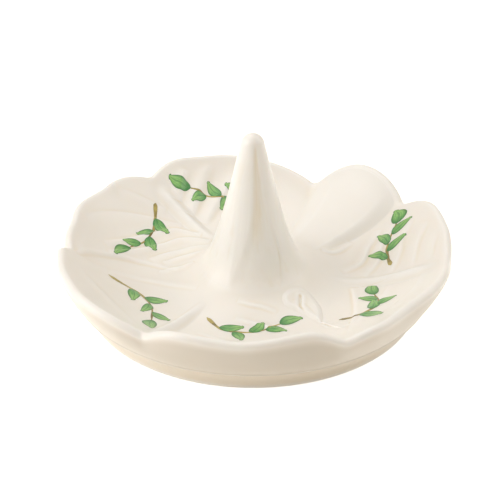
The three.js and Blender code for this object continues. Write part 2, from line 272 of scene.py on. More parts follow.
def smooth_path(points, per_span=7):
    """Plan points of a curve through (radius, angle) points."""
    polar = np.array(points, float)
    turn = np.radians(polar[:, 1])
    plan = np.c_[polar[:, 0] * np.cos(turn), polar[:, 0] * np.sin(turn)]
    ends = np.vstack([2 * plan[0] - plan[1], plan, 2 * plan[-1] - plan[-2]])
    path = []
    for a, b, c, d in zip(ends, ends[1:], ends[2:], ends[3:]):
        square, cube = 2 * a - 5 * b + 4 * c - d, 3 * b - a - 3 * c + d
        for t in np.arange(per_span) / per_span:
            path.append(0.5 * (2 * b + (c - a) * t + square * t**2 + cube * t**3))
    return np.array(path + [plan[-1]])


def nearest_on(path, x, y):
    """Distance to a path, how far along it that is, 0 to 1, and which side."""
    best = np.full(x.shape, np.inf)
    along = np.zeros(x.shape)
    side = np.zeros(x.shape)
    for i, (p, q) in enumerate(zip(path, path[1:])):
        step = q - p
        t = np.clip(((x - p[0]) * step[0] + (y - p[1]) * step[1]) / (step @ step), 0, 1)
        dx, dy = x - p[0] - t * step[0], y - p[1] - t * step[1]
        away = np.hypot(dx, dy)
        nearer = away < best
        best = np.where(nearer, away, best)
        along = np.where(nearer, (i + t) / (len(path) - 1), along)
        side = np.where(nearer, np.sign(step[0] * dy - step[1] * dx), side)
    return best, along, side


class Form:
    """The dish's own surface in millimetres, from the sidebar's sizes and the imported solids."""

    TAPER = 0.225  # radius that the post loses for each millimetre up
    BOWL_POWER = 2.2  # how late the bowl turns up
    SWEEP = 1.6  # height in which the sweep at the post's root dies away
    BLEND = 0.5  # softness where the sweep meets the bowl
    WALL_BELLY = (0.82, 0.42)  # where the outer wall bellies out, as shares of its run and its climb
    WALL_INSET = 0.3  # how far behind the roll at the seam the wall starts
    LEDGE_HALF = 0.55  # half height of that roll
    LEDGE_BLEND = 0.12  # softness where the roll meets the wall
    FOOT_WAIST = (-0.1, 0.6)  # where the foot's side bends, as shares of its spread and its height
    FOOT_EDGE = 0.7  # rounding of the standing edges
    VEIN_SLOPES = (1.5, 0.6)  # a vein's width on its long slope and on its steep one
    LAP_HALF = 0.55  # half width of the step where one leaf lies over another
    LAP_FADE = 5  # distance in which the leaf sinks back behind that step
    SUNK = 0.02  # how deep a pressed piece lies where it isn't raised

    def __init__(self, sizes):
        for name in sizes.__annotations__:
            setattr(self, name, getattr(sizes, name) / MM)
        self.lip_round = self.lip_thickness / 2
        self.lip_start = self.rim_height - self.lip_round
        self.lip_slope = math.pi / 4
        for _ in range(20):
            run = self.rim_radius - self.lip_round * (1 + math.sin(self.lip_slope)) - self.floor_radius
            climb = self.lip_start + self.lip_round * math.cos(self.lip_slope) - FLOOR
            self.lip_slope = math.atan(self.BOWL_POWER * climb / run)
        self.bowl_edge = self.floor_radius + run
        self.bowl_top = FLOOR + climb
        self.bore = self.post_radius(FLOOR) - self.post_wall
        self.ledge_height = FOOT_HEIGHT + 0.05
        self.ledge_reach = 0.6 * (BEAD_RADIUS - SEAM_RADIUS)
        self.sweep_z = np.linspace(POST_TOP, FLOOR - 6, 3000)
        self.sweep_r = self.sweep_radius(self.sweep_z)
        veins = BACK_VEINS + LEFT_VEINS + FRONT_VEINS + RIGHT_VEINS
        self.veins = [(share, wide, smooth_path(points)) for share, wide, points in veins]
        self.laps = [(tall, smooth_path(points)) for tall, points in LAPS]

    def post_radius(self, z):
        flare = self.flare_radius * np.exp((FLOOR - z) / self.flare_height)
        tip = self.tip_radius * (math.hypot(1, self.TAPER) - self.TAPER)
        return tip + self.TAPER * (POST_TOP - z) + flare

    def sweep_radius(self, z):
        """The post with the sweep that carries it onto the floor."""
        reach = FILLET_EDGE - self.post_radius(FLOOR)
        return self.post_radius(z) + reach * np.exp((FLOOR - z) / self.SWEEP)

    def bowl(self, r):
        out = np.maximum(0, r - self.floor_radius) / (self.bowl_edge - self.floor_radius)
        return FLOOR + (self.bowl_top - FLOOR) * out**self.BOWL_POWER

    def ledge(self, z):
        """Radius of the roll that stands out round the seam."""
        return SEAM_RADIUS + self.ledge_reach * np.exp(-(((z - self.ledge_height) / self.LEDGE_HALF) ** 2))

    def rise_over_bowl(self, z):
        return self.BLEND * np.logaddexp(0, (z - FLOOR) / self.BLEND)

    def top(self, r):
        """Height of the plain upper surface at a radius outside the post."""
        z = np.interp(r, self.sweep_r, self.sweep_z)
        return self.bowl(r) + self.rise_over_bowl(z)

    def lobed(self, r, angle, z, level=None):
        """Draws a point out into the lobes: in full at the lip, not at all at the floor."""
        share = ramp(FLOOR, self.rim_height, z if level is None else level)
        reach, rise = rim_at(angle)
        return r + share * reach, z + share * rise

    def relief(self, r, angle):
        """Height of the side veins and the lapped leaf edges, faded out at the post and the lip."""
        x, y = r * np.cos(np.radians(angle)), r * np.sin(np.radians(angle))
        height = np.zeros(np.shape(x))
        for share, wide, path in self.veins:
            away, along, side = nearest_on(path, x, y)
            width = wide * self.vein_width * np.where(side > 0, *self.VEIN_SLOPES)
            ends = np.sin(math.pi * along) ** 0.6
            height += share * self.vein_height * ends * np.exp(-((away / width) ** 2))
        for tall, path in self.laps:
            away, along, side = nearest_on(path, x, y)
            ends = np.sin(math.pi * along**0.6) ** 0.7
            behind = side * away
            step = ramp(-self.LAP_HALF, self.LAP_HALF, behind)
            height += tall * ends * (step * np.exp(-np.maximum(0, behind) / self.LAP_FADE))
        return height * ramp(13.5, 19, r) * (1 - ramp(self.bowl_edge - 3.2, self.bowl_edge + 0.3, r))

    def flutes(self, angle, z):
        """How far the post's skin stands off its plain taper: three merged stems, the front one sunk.

        Heights t are shares of the post's height, and front is the angle off the side that faces the viewer.
        """
        t = (z - FLOOR) / (POST_TOP - FLOOR)
        turn = np.radians(angle)
        front = (angle - 270 + 180) % 360 - 180
        out = -0.4 * self.flute_depth * np.sin(3 * turn) * ramp(0.1, 0.35, t) * (1 - ramp(0.62, 0.96, t))
        left = np.interp(t, (0.1, 0.2, 0.3, 0.42, 0.6, 0.9), (-22, -17, -10, -2, 2, 4))
        right_at = (0.08, 0.14, 0.22, 0.3, 0.45, 0.6, 0.75, 0.9)
        right = np.interp(t, right_at, (30, 38, 43, 44, 37, 30, 26, 20))
        soft = np.interp(t, (0.25, 0.42, 0.65), (1.6, 6, 8))
        stem = ramp(left - 8, left + 9, front) * (1 - ramp(right - soft, right + soft, front))
        begun = ramp(0.08, 0.14, t)
        depth = self.flute_depth * np.interp(t, (0.3, 0.6), (1, 0.75))
        out -= depth * stem * begun * (1 - ramp(0.8, 1, t))
        creases = begun * (1 - ramp(0.34, 0.55, t))
        out -= 0.07 * np.exp(-(((front - right) / 2.4) ** 2)) * creases
        out -= 0.03 * np.exp(-(((front - left - 5 * t) / 5) ** 2)) * creases
        fibre = np.sin(31 * turn + 2.5 * np.sin(2 * turn) + 4 * t) + 0.7 * np.sin(53 * turn - 5 * t)
        flank = 0.25 + 0.75 * np.exp(-(((angle - 195) / 38) ** 2))
        out += 0.02 * fibre * flank * ramp(0.04, 0.16, t) * (1 - ramp(0.5, 0.9, t))
        return out

    def skin(self, r, angle, z):
        """A point of the upper surface with lobes, veins and flutes."""
        out = np.where(z > FLOOR + 0.5, self.flutes(angle, z) * ramp(19, 15, r), 0)
        radius, height = self.lobed(r, angle, z, self.bowl(r))
        return radius + out, height + self.relief(r, angle)

    def laid(self, r, angle, lift):
        """Points in metres on the dish, lifted off it."""
        radius, height = self.skin(r, angle, self.top(r))
        turn = np.radians(angle)
        return np.stack([radius * np.cos(turn), radius * np.sin(turn), height + lift], -1) * MM

    def laid_at(self, x, y, lift):
        """The same at plan points."""
        return self.laid(np.hypot(x, y), np.degrees(np.arctan2(y, x)) % 360, lift)


def start_piece():
    """Leaves edit mode with nothing selected."""
    if bpy.context.object and bpy.context.object.mode != "OBJECT":
        bpy.ops.object.mode_set(mode="OBJECT")
    bpy.ops.object.select_all(action="DESELECT")


def name_piece(name):
    piece = bpy.context.object
    piece.name = piece.data.name = name
    return piece


def turned(name, section, sides, closed=True):
    """Turns a section of (radius, height) points about Z. An open section ends on the axis."""
    section = np.array(section, float)
    start_piece()
    bpy.ops.mesh.primitive_circle_add(vertices=len(section), radius=1)
    piece = name_piece(name)
    piece.data.vertices.foreach_set("co", (np.insert(section, 1, 0, axis=1) * MM).ravel())
    if not closed:
        last = len(section) - 1
        for vertex in piece.data.vertices:
            vertex.select = vertex.index in (0, last)
        for edge in piece.data.edges:
            edge.select = set(edge.vertices) == {0, last}
        bpy.ops.object.mode_set(mode="EDIT")
        bpy.ops.mesh.select_mode(type="EDGE")
        bpy.ops.mesh.delete(type="EDGE")
        bpy.ops.mesh.select_mode(type="VERT")
        bpy.ops.object.mode_set(mode="OBJECT")
    wheel = piece.modifiers.new("Wheel", "SCREW")
    wheel.axis = "Z"
    wheel.steps = wheel.render_steps = sides
    wheel.use_merge_vertices = True
    wheel.merge_threshold = 1e-6
    bpy.ops.object.modifier_apply(modifier=wheel.name)
    bpy.ops.object.mode_set(mode="EDIT")
    bpy.ops.mesh.select_all(action="SELECT")
    bpy.ops.mesh.remove_doubles(threshold=1e-6)
    bpy.ops.mesh.normals_make_consistent(inside=False)
    bpy.ops.object.mode_set(mode="OBJECT")
    return piece


def points_of(piece):
    flat = np.zeros(len(piece.data.vertices) * 3)
    piece.data.vertices.foreach_get("co", flat)
    return flat.reshape(-1, 3) / MM


def move_points(piece, points):
    piece.data.vertices.foreach_set("co", (points * MM).ravel())
    piece.data.update()


def sculpt(piece, shape):
    """Moves each point by shape(radius, angle, height), all in millimetres and degrees."""
    points = points_of(piece)
    turn = np.arctan2(points[:, 1], points[:, 0])
    r, z = shape(np.hypot(points[:, 0], points[:, 1]), np.degrees(turn) % 360, points[:, 2])
    move_points(piece, np.c_[r * np.cos(turn), r * np.sin(turn), z])


def pressed_grid(name, rows, columns, place, thickness):
    """A grid laid by place(u, v), u along 0 to 1 and v across -1 to 1, then thickened underneath."""
    start_piece()
    bpy.ops.mesh.primitive_grid_add(x_subdivisions=rows, y_subdivisions=columns, size=2)
    piece = name_piece(name)
    flat = points_of(piece) * MM
    piece.data.vertices.foreach_set("co", place((flat[:, 0] + 1) / 2, flat[:, 1]).ravel())
    piece.data.update()
    wall = piece.modifiers.new("Thickness", "SOLIDIFY")
    wall.thickness = thickness * MM
    wall.offset = -1
    bpy.ops.object.modifier_apply(modifier=wall.name)
    return piece


def note_hollows(piece, added_shade=0, gain=2.2):
    """Stores how hollow each point is, plus any painted shade added, for the glaze colour to pool and pale:
    above 0 in hollows, below 0 on ridges.
    """
    mesh = piece.data
    points = points_of(piece)
    ends = np.zeros(len(mesh.edges) * 2, int)
    mesh.edges.foreach_get("vertices", ends)
    a, b = ends.reshape(-1, 2).T
    normals = np.zeros(len(points) * 3)
    mesh.vertex_normals.foreach_get("vector", normals)
    normals = normals.reshape(-1, 3)
    step = points[b] - points[a]
    square = np.maximum((step**2).sum(1), 1e-6)
    total, count = np.zeros(len(points)), np.zeros(len(points))
    for ends, rise in ((a, (step * normals[a]).sum(1)), (b, -(step * normals[b]).sum(1))):
        np.add.at(total, ends, 2 * rise / square)
        np.add.at(count, ends, 1)
    bend = total / np.maximum(count, 1)
    for _ in range(3):
        spread, near = np.zeros(len(points)), np.zeros(len(points))
        np.add.at(spread, a, bend[b])
        np.add.at(spread, b, bend[a])
        np.add.at(near, a, 1)
        np.add.at(near, b, 1)
        bend = 0.5 * bend + 0.5 * spread / np.maximum(near, 1)
    layer = mesh.attributes.new("hollow", "FLOAT", "POINT")
    layer.data.foreach_set("value", np.clip(bend * gain + added_shade, -1, 1).astype(np.float32))


def finish_piece(piece, material, *nodes, slot=None):
    start_piece()
    piece.select_set(True)
    bpy.context.view_layer.objects.active = piece
    bpy.ops.object.shade_smooth_by_angle(angle=SMOOTH_BELOW)
    piece.data.materials.clear()
    piece.data.materials.append(material)
    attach(piece, BODY)
    if nodes:
        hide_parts(*nodes)
    return piece


class Nodes:
    """Short calls for one node tree, of a material or the world."""

    def __init__(self, owner):
        owner.use_nodes = True
        self.owner = owner
        self.tree = owner.node_tree
        self.tree.nodes.clear()

    def add(self, kind, **settings):
        node = self.tree.nodes.new(kind)
        for key, value in settings.items():
            setattr(node, key, value)
        return node

    def link(self, out, into):
        self.tree.links.new(out, into)

    def feed(self, socket, value):
        if hasattr(value, "links"):
            self.link(value, socket)
        else:
            socket.default_value = value

    def math(self, operation, a, b, clamp=False):
        node = self.add("ShaderNodeMath", operation=operation, use_clamp=clamp)
        self.feed(node.inputs[0], a)
        self.feed(node.inputs[1], b)
        return node.outputs[0]

    def plus(self, a, b):
        return self.math("ADD", a, b)

    def times(self, a, b, clamp=False):
        return self.math("MULTIPLY", a, b, clamp)

    def most(self, first, *others):
        for other in others:
            first = self.math("MAXIMUM", first, other)
        return first

    def mix(self, share, a, b):
        node = self.add("ShaderNodeMix", data_type="RGBA")
        self.feed(node.inputs["Factor"], share)
        for socket, value in ((node.inputs[6], a), (node.inputs[7], b)):
            self.feed(socket, value if hasattr(value, "links") else (*value, 1))
        return node.outputs[2]

    def coordinates(self, kind):
        return self.add("ShaderNodeTexCoord").outputs[kind]

    def attribute(self, name):
        return self.add("ShaderNodeAttribute", attribute_name=name).outputs["Fac"]

    def split(self, where):
        node = self.add("ShaderNodeSeparateXYZ")
        self.link(where, node.inputs[0])
        return node.outputs

    def stretched(self, where, scale):
        node = self.add("ShaderNodeMapping")
        node.inputs["Scale"].default_value = scale
        self.link(where, node.inputs["Vector"])
        return node.outputs[0]

    def noise(self, where, scale, detail=2.0, roughness=0.5):
        node = self.add("ShaderNodeTexNoise")
        self.link(where, node.inputs["Vector"])
        node.inputs["Scale"].default_value = scale
        node.inputs["Detail"].default_value = detail
        node.inputs["Roughness"].default_value = roughness
        return node.outputs["Fac"]

    def span(self, value, low, high, to_low=0.0, to_high=1.0):
        node = self.add("ShaderNodeMapRange", interpolation_type="SMOOTHSTEP")
        self.feed(node.inputs["Value"], value)
        for key, number in (("From Min", low), ("From Max", high), ("To Min", to_low), ("To Max", to_high)):
            node.inputs[key].default_value = number
        return node.outputs["Result"]

    def seen(self):
        """1 for rays that show a thing, straight or in a gloss, and 0 for rays that light it."""
        path = self.add("ShaderNodeLightPath").outputs
        return self.most(path["Is Camera Ray"], path["Is Glossy Ray"], path["Is Transmission Ray"])

    def gloss(self, colour, roughness, bump, bump_height, scatter=0.0):
        """A glazed surface: colour, roughness and bump from nodes, the rest plain numbers."""
        skin = self.add("ShaderNodeBsdfPrincipled")
        self.feed(skin.inputs["Base Color"], colour)
        self.feed(skin.inputs["Roughness"], roughness)
        skin.inputs["IOR"].default_value = 1.5
        skin.inputs["Coat Weight"].default_value = 0.3
        skin.inputs["Coat Roughness"].default_value = 0.28
        skin.inputs["Subsurface Weight"].default_value = scatter
        skin.inputs["Subsurface Radius"].default_value = (1.0, 0.72, 0.5)
        skin.inputs["Subsurface Scale"].default_value = 0.002
        relief = self.add("ShaderNodeBump")
        relief.inputs["Strength"].default_value = 0.35
        relief.inputs["Distance"].default_value = bump_height
        self.link(bump, relief.inputs["Height"])
        self.link(relief.outputs[0], skin.inputs["Normal"])
        out = self.add("ShaderNodeOutputMaterial")
        self.link(skin.outputs[0], out.inputs["Surface"])
        return self.owner


def glaze_material(name, colours, base, bare_below=None, lit_above=None):
    """Cream glaze, thin and paler on ridges, pooling and darker in hollows, clouded and rippled; the ridges
    and hollows are partly painted light and shade.

    Below one height in metres it leaves the clay bare, and above another it turns paler as painted light,
    with streaks of pooling.
    """
    n = Nodes(bpy.data.materials.new(name))
    where = n.coordinates("Object")
    height = n.split(where)["Z"]
    hollow, outer = n.attribute("hollow"), n.attribute("outer")
    cloud = n.noise(where, 55, 3, 0.55)
    fine = n.noise(where, 900)
    # Pooling and thinning, partly painted shade in hollows and painted light on ridges.
    thin = n.times(hollow, -1.0, clamp=True)
    pool_and_shade = n.plus(n.times(hollow, 0.55, clamp=True), n.span(cloud, 0.5, 0.8, 0, 0.05))
    if lit_above is not None:
        streaks = n.noise(n.stretched(where, (1, 1, 0.05)), 420)
        pool_and_shade = n.plus(pool_and_shade, n.span(streaks, 0.5, 0.75, 0, 0.14))
        # Painted light: above that height the colour goes fully to the thin colour.
        thin = n.most(thin, n.span(height, lit_above, lit_above + 0.012))
    # Painted shade on the outer wall: the outer attribute darkens the base towards the outer wall colour and
    # keeps most pooling off there.
    colour = n.mix(thin, n.mix(outer, base, colours.outer_wall_shade), colours.glaze_thin)
    pool_and_shade = n.times(pool_and_shade, n.math("SUBTRACT", 1.0, n.times(outer, 0.9)))
    colour = n.mix(pool_and_shade, colour, colours.glaze_pool_and_shade)
    roughness = n.span(cloud, 0.3, 0.7, 0.29, 0.36)
    if bare_below is not None:
        edge = n.plus(height, n.times(cloud, 0.0004))
        bare = n.span(edge, bare_below, bare_below + 0.0003, 1, 0)
        colour = n.mix(bare, colour, colours.biscuit)
        roughness = n.plus(roughness, n.times(bare, 0.5))
    ripple = n.plus(cloud, n.times(fine, 0.12))
    return n.gloss(colour, roughness, ripple, 0.00012, scatter=0.12)


def leaf_paint(colours):
    """Two brush strokes of green: dark at the root and outline, thin and streaky towards the tip."""
    n = Nodes(bpy.data.materials.new("leaf_paint"))
    sheet = n.coordinates("UV")
    streak = n.noise(n.stretched(sheet, (1.5, 9, 1)), 2.2, 3, 0.6)
    along = n.math("FRACT", n.split(sheet)["X"], 0)
    across = n.math("FRACT", n.split(sheet)["Y"], 0)
    edge = n.times(n.math("ABSOLUTE", n.math("SUBTRACT", across, 0.5), 0), 2.0)
    outline = n.span(n.plus(edge, n.times(streak, 0.35)), 0.72, 1.12)
    middle = n.span(edge, 0.16, 0.02)
    root = n.span(n.plus(along, n.times(streak, 0.4)), 0.55, 0.2)
    wash = n.span(n.plus(streak, n.times(along, 0.35)), 0.45, 0.85)
    body = n.mix(wash, colours.leaf_mid, colours.leaf_pale)
    dark = n.most(n.times(outline, 0.75), n.times(middle, 0.55), n.times(root, 0.7))
    colour = n.mix(dark, body, colours.leaf_dark)
    ripple = n.noise(n.coordinates("Object"), 700)
    return n.gloss(colour, n.span(streak, 0.3, 0.7, *PAINT_ROUGHNESS), ripple, PAINT_RIPPLE)


def stem_paint(colours):
    """One long stroke of olive, darker where the brush rested."""
    n = Nodes(bpy.data.materials.new("stem_paint"))
    where = n.coordinates("Object")
    blot = n.noise(where, 170, 2, 0.6)
    fine = n.noise(where, 800)
    rested = n.span(n.plus(blot, n.times(fine, 0.2)), 0.5, 0.78)
    colour = n.mix(rested, colours.stem, colours.stem_dark)
    return n.gloss(colour, n.span(blot, 0.3, 0.7, *PAINT_ROUGHNESS), fine, PAINT_RIPPLE)


def form_of(context):
    return Form(context.scene.ring_holder_sizes)


def glaze(context):
    name, colours = "cream_glaze", context.scene.ring_holder_colours
    return bpy.data.materials.get(name) or glaze_material(name, colours, colours.glaze)


class RINGHOLDER_OT_dish(Operator):
    """Spins the dish and draws its rim out into leaf lobes with veins"""

    bl_idname = "ring_holder.dish"
    bl_label = "Dish"

    def execute(self, context):
        f = form_of(context)
        shoulder = SEAM_RADIUS - f.foot_wall
        under = [(r, FLOOR - f.dish_wall) for r in np.linspace(f.bore, f.floor_radius, 8)]
        under += [(r, f.bowl(r) - f.dish_wall) for r in np.linspace(f.floor_radius, shoulder, 16)[1:]]
        seat = [(shoulder, FOOT_HEIGHT), (SEAM_RADIUS, FOOT_HEIGHT)]
        start = np.array((f.ledge(f.ledge_height) - f.WALL_INSET, f.ledge_height))
        lip_out = np.array((f.rim_radius, f.lip_start))
        belly = start + f.WALL_BELLY * (lip_out - start)
        soft = f.LEDGE_BLEND
        wall = curve(start, belly, lip_out, 42)[:-1]
        wall = [(soft * np.logaddexp(r / soft, f.ledge(z) / soft), z) for r, z in wall]
        round_lip = f.lip_round
        lip = [
            (f.rim_radius - round_lip + round_lip * math.cos(t), f.lip_start + round_lip * math.sin(t))
            for t in np.linspace(0, math.pi / 2 + f.lip_slope, 17)
        ]
        bowl = [(r, f.top(r)) for r in np.linspace(f.bowl_edge, FILLET_EDGE - 2, 84)[1:]]
        floor = [(FILLET_EDGE - 3, FLOOR - 0.3), (f.bore, FLOOR - 0.3)]
        piece = turned("glazed_dish", under + seat + wall + lip + bowl + floor, 512)

        self.note_outer_shade(f, piece)

        def shape(r, angle, z):
            upper = (z > f.bowl(np.minimum(r, f.bowl_edge)) - 0.25) & (r > FILLET_EDGE - 2.5)
            radius, height = f.lobed(r, angle, z, np.where(upper & (r < f.bowl_edge), f.bowl(r), z))
            return radius, height + np.where(upper, f.relief(r, angle), 0)

        sculpt(piece, shape)
        note_hollows(piece)
        finish_piece(piece, glaze(context), "dish", slot="glazed_porcelain")
        return {"FINISHED"}

    @staticmethod
    def note_outer_shade(f, piece):
        """Stores how much painted shade the outer wall gets: full low down, less on the roll, none on the
        lip.
        """
        points = points_of(piece)
        r, z = np.hypot(points[:, 0], points[:, 1]), points[:, 2]
        outer = (r > SEAM_RADIUS) & (z < f.bowl(np.minimum(r, f.bowl_edge)) - 1)
        shade_depth = ramp(f.lip_start + 0.5, f.lip_start - 2, z) * (0.85 + 0.15 * ramp(13, 8, z))
        shade_depth *= 1 - 0.45 * ramp(f.ledge_height + 0.5, f.ledge_height + 0.1, z)
        layer = piece.data.attributes.new("outer", "FLOAT", "POINT")
        layer.data.foreach_set("value", (outer * shade_depth).astype(np.float32))


class RINGHOLDER_OT_post(Operator):
    """Spins the hollow ring post and sinks its flutes"""

    bl_idname = "ring_holder.post"
    bl_label = "Ring post"

    def execute(self, context):
        f = form_of(context)
        slope = math.hypot(1, f.TAPER)
        tangent = POST_TOP - f.tip_radius * (1 - f.TAPER / slope)
        hollow_top = POST_TOP - 6
        bore = [(f.post_radius(z) - f.post_wall, z) for z in np.linspace(hollow_top, FLOOR, 24)]
        root = [(f.post_radius(FLOOR) - 0.6, FLOOR)]
        low = FILLET_TOP - 2
        flank = [
            (f.sweep_radius(z) - 0.3 * ramp(FILLET_TOP, low, z), z) for z in np.linspace(low, tangent, 110)
        ]
        dome = [
            (f.tip_radius * math.cos(t), POST_TOP - f.tip_radius + f.tip_radius * math.sin(t))
            for t in np.linspace(math.asin(f.TAPER / slope), math.pi / 2, 18)[1:-1]
        ]
        section = [(0, hollow_top)] + bore + root + flank + dome + [(0, POST_TOP)]
        piece = turned("glazed_post", section, 288, closed=False)

        def shape(r, angle, z):
            outside = r > f.post_radius(z) - f.post_wall / 2
            return r + np.where(outside & (z > FLOOR + 0.5), f.flutes(angle, z), 0), z

        # A band of painted shade down the front, a little to the right, added to the hollows as pooling.
        points = points_of(piece)
        t = (points[:, 2] - FLOOR) / (POST_TOP - FLOOR)
        front = (np.degrees(np.arctan2(points[:, 1], points[:, 0])) - 90) % 360 - 180
        run = np.exp(-(((front - 11) / 12) ** 2)) * ramp(0.25, 0.5, t) * (1 - ramp(0.9, 1, t))
        sculpt(piece, shape)
        note_hollows(piece, 0.6 * run, 0.8)
        colours = context.scene.ring_holder_colours
        # Painted light: the post's glaze turns paler above the fillet.
        thin = glaze_material("post_glaze", colours, colours.glaze, lit_above=FILLET_TOP * MM)
        finish_piece(piece, thin, "ring_post", slot="glazed_porcelain")
        return {"FINISHED"}


class RINGHOLDER_OT_fillet(Operator):
    """Spins the sweep that carries the post onto the floor"""

    bl_idname = "ring_holder.fillet"
    bl_label = "Post fillet"

    def execute(self, context):
        f = form_of(context)
        low = np.interp(FILLET_EDGE + 1.5, f.sweep_r, f.sweep_z)
        sweep = []
        for z in np.linspace(FILLET_TOP + 1, low, 64):
            r = f.sweep_radius(z)
            proud = 0.02 * np.clip((FILLET_EDGE - r) / 1.5, -1, 1)
            inside = 0.05 * max(0.0, z - FILLET_TOP)
            sweep.append((r - inside, f.bowl(r) + f.rise_over_bowl(z) + proud))
        (first_r, first_z), (last_r, last_z) = sweep[0], sweep[-1]
        sunk = 0.6
        under = [
            (last_r, last_z - sunk),
            (FILLET_EDGE - 3, FLOOR - sunk),
            (f.post_radius(FLOOR) - 1.5, FLOOR - sunk),
            (first_r - 1.2, first_z),
        ]
        piece = turned("glazed_fillet", sweep + under, 512)

        def shape(r, angle, z):
            upper = z > f.top(r) - 0.35
            radius, height = f.skin(r, angle, z)
            return np.where(upper, radius, r), np.where(upper, height, z)

        sculpt(piece, shape)
        note_hollows(piece)
        finish_piece(piece, glaze(context), "post_fillet", slot="glazed_porcelain")
        return {"FINISHED"}


class RINGHOLDER_OT_foot(Operator):
    """Spins the foot ring and the bead of slip over its seam"""

    bl_idname = "ring_holder.foot"
    bl_label = "Foot"

    def execute(self, context):
        f = form_of(context)
        outer, inner, edge = f.foot_radius, f.foot_radius - f.foot_wall, f.FOOT_EDGE
        spread, bends = SEAM_RADIUS - outer, np.linspace(0, math.pi / 2, 8)
        section = [(inner + edge - edge * math.cos(t), edge - edge * math.sin(t)) for t in bends]
        section += [(outer - edge + edge * math.sin(t), edge - edge * math.cos(t)) for t in bends]
        waist = np.multiply(f.FOOT_WAIST, (spread, FOOT_HEIGHT))
        side = curve((0, edge), waist, (spread, FOOT_HEIGHT), 22)
        section += [(outer + x, z) for x, z in side[1:]]
        section += [(inner + x, z) for x, z in side[:0:-1]]
        foot = turned("glazed_foot", section, 256)
        # Painted shade under the ledge: pooling that grows up the foot and lies over the whole bead.
        pool_and_shade = 0.3
        note_hollows(foot, pool_and_shade * ramp(2.5, 6, points_of(foot)[:, 2]))
        colours = context.scene.ring_holder_colours
        material = glaze_material("foot_light_and_shade", colours, colours.foot_light_and_shade, bare_below=0.0003)
        finish_piece(foot, material, "foot_ring", slot="foot_porcelain")

        reach, height = np.array(side).T
        section = []
        for z in np.linspace(BEAD_LOW - 0.3, f.ledge_height + 0.05, 24):
            roll = f.ledge(z) - SEAM_RADIUS - 0.06
            section.append((outer + np.interp(z, height, reach) + roll, z))
        inside = SEAM_RADIUS - 1.8
        section += [(inside, section[-1][1]), (inside, section[0][1])]
        bead = turned("slip_bead", section, 256)
        note_hollows(bead, pool_and_shade)
        finish_piece(bead, material, "foot_bead", slot="foot_porcelain")
        return {"FINISHED"}


class RINGHOLDER_OT_ribs(Operator):
    """Presses the middle rib of each leaf onto the dish"""

    bl_idname = "ring_holder.ribs"
    bl_label = "Leaf ribs"

    def execute(self, context):
        f = form_of(context)
        for name, (at_post, at_rim, tall, wide, full) in RIBS.items():

            def place(u, v):
                r = RIB_START + (f.bowl_edge - 0.3 - RIB_START) * u
                half = wide * (2.4 + 1.4 * u)
                angle = at_post + (at_rim - at_post) * u + np.degrees(v * half / r)
                ends = ramp(0.05, full, u) * (1 - ramp(0.76, 1, u))
                rise = tall * f.rib_height * ends * np.exp(-((2.1 * v) ** 2)) - f.SUNK - 0.25 * v**8
                return f.laid(r, angle, rise)

            piece = pressed_grid("glazed_" + name, 120, 56, place, 0.5)
            note_hollows(piece)
            finish_piece(piece, glaze(context), name, slot="glazed_porcelain")
        return {"FINISHED"}


class RINGHOLDER_OT_petal(Operator):
    """Presses the smooth puffed petal onto the dish"""

    bl_idname = "ring_holder.petal"
    bl_label = "Smooth petal"

    def execute(self, context):
        f = form_of(context)

        def place(u, v):
            r = PETAL_START + (f.bowl_edge - PETAL_START) * u
            half = (5.6 + 10.4 * u) * np.where(v < 0, 1.1, 1)
            angle = PETAL_ANGLE + np.degrees(v * half / r)
            right = ramp(0, 0.36, v + 1)
            left = ramp(0, 0.55, 1 - v)
            ends = ramp(0, 0.4, u) * (1 - u**6)
            puff = right * left
            rise = f.petal_puff * puff * ends - f.SUNK - 0.3 * np.abs(v) ** 40 - 0.05 * u**30
            return f.laid(r, angle, rise) - np.stack([0 * r, 0 * r, f.relief(r, angle) * puff], -1) * MM

        piece = pressed_grid("puffed_petal", 130, 120, place, 0.6)
        note_hollows(piece)
        finish_piece(piece, glaze(context), "smooth_petal", slot="glazed_porcelain")
        return {"FINISHED"}


class RINGHOLDER_OT_bud(Operator):
    """Presses the teardrop bud, a ring with a slit seed, onto the sweep of the post"""

    bl_idname = "ring_holder.bud"
    bl_label = "Bud"

    def execute(self, context):
        f = form_of(context)
        outline, slit, tail = (smooth_path(points) for points in (BUD, BUD_SLIT, BUD_TAIL))
        head, tip = BUD_SHEET
        length = np.linalg.norm(tip - head)
        axis = (tip - head) / length

        def place(u, v):
            along, across = u * length, v * BUD_SHEET_HALF
            x = head[0] + along * axis[0] - across * axis[1]
            y = head[1] + along * axis[1] + across * axis[0]
            away, _, side = nearest_on(outline, x, y)
            inside = -side * away
            dome = ramp(-0.45, 1.5, inside) * (1 - 0.3 * ramp(1.2, 4.5, inside))
            moat = np.exp(-(((inside + 0.55) / 0.5) ** 2))
            gap, share, _ = nearest_on(slit, x, y)
            open_slit = np.exp(-((gap / 0.5) ** 2)) * (1 - ramp(0.35, 1, share))
            lips = np.exp(-(((gap - 1.0) / 0.6) ** 2)) * (1 - ramp(0.4, 1, share))
            run, share, _ = nearest_on(tail, x, y)
            vein = np.exp(-((run / 0.7) ** 2)) * (1 - ramp(0.5, 1, share))
            border = np.maximum(np.abs(v), np.abs(2 * u - 1)) ** 14
            rise = f.bud_height * (dome - 0.22 * moat - 0.75 * open_slit + 0.14 * lips + 0.3 * vein)
            return f.laid_at(x, y, rise - f.SUNK - 0.3 * border)

        piece = pressed_grid("pressed_bud", 150, 120, place, 0.9)
        note_hollows(piece)
        finish_piece(piece, glaze(context), "bud_sprig", slot="glazed_porcelain")
        return {"FINISHED"}


